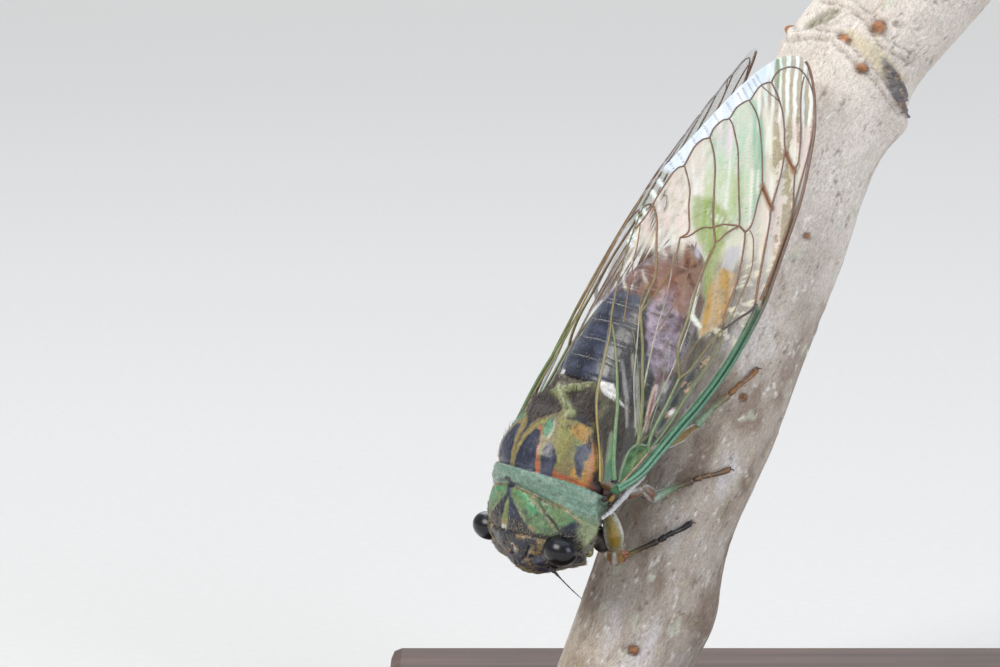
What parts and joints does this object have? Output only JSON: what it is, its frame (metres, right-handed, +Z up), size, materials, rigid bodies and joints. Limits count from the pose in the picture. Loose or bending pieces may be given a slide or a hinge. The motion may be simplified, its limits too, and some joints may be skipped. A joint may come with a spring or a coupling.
{
  "type": "cicada model on a perch",
  "caption": "Life-size still model of a green and black cicada, head down on a short length of branch, held by a flat wooden display base.",
  "frame": {"origin": "middle of the underside of the stand's base, on the table", "axes": "+Z up; +X to the right as the picture shows the insect; +Y away from the picture's camera, which looks along +Y"},
  "size_m": [0.058, 0.042, 0.073],
  "materials": {
    "black_shell": "satin black insect shell with ochre spots and fine pile",
    "abdomen_shell": "glossy black ringed shell with a white and pinkish bloom on its sides",
    "eye": "polished black compound eye",
    "green_shell": "satin green shell with black and tan marks",
    "olive_shell": "satin olive shell with black spots and orange rims",
    "pale_underside": "pale waxy bloom",
    "wing_membrane": "clear glossy membrane with green to brown veins",
    "leg": "satin green and brown leg shell",
    "foot": "satin dark brown",
    "bark": "rough grey-beige bark",
    "dark_wood": "oiled dark wood",
    "steel": "brushed"
  },
  "bodies": {
    "root": {"abdomen": "abdomen_shell", "antenna_left": "black_shell", "antenna_right": "black_shell", "eye_left": "eye", "eye_right": "eye", "fore_femur_left": "leg", "fore_femur_right": "leg", "fore_tarsus_left": "foot", "fore_tarsus_right": "foot", "fore_tibia_left": "leg", "fore_tibia_right": "leg", "forewing_left": "wing_membrane", "forewing_right": "wing_membrane", "head": "black_shell", "hind_femur_left": "leg", "hind_femur_right": "leg", "hind_tarsus_left": "foot", "hind_tarsus_right": "foot", "hind_tibia_left": "leg", "hind_tibia_right": "leg", "hindwing_left": "wing_membrane", "hindwing_right": "wing_membrane", "mesonotum": "olive_shell", "mid_femur_left": "leg", "mid_femur_right": "leg", "mid_tarsus_left": "foot", "mid_tarsus_right": "foot", "mid_tibia_left": "leg", "mid_tibia_right": "leg", "operculum_left": "pale_underside", "operculum_right": "pale_underside", "perch": "bark", "pronotum": "green_shell", "rostrum": "black_shell", "stand_base": "dark_wood", "stand_rod": "steel", "thorax_under": "pale_underside"}
  },
  "joints": []
}
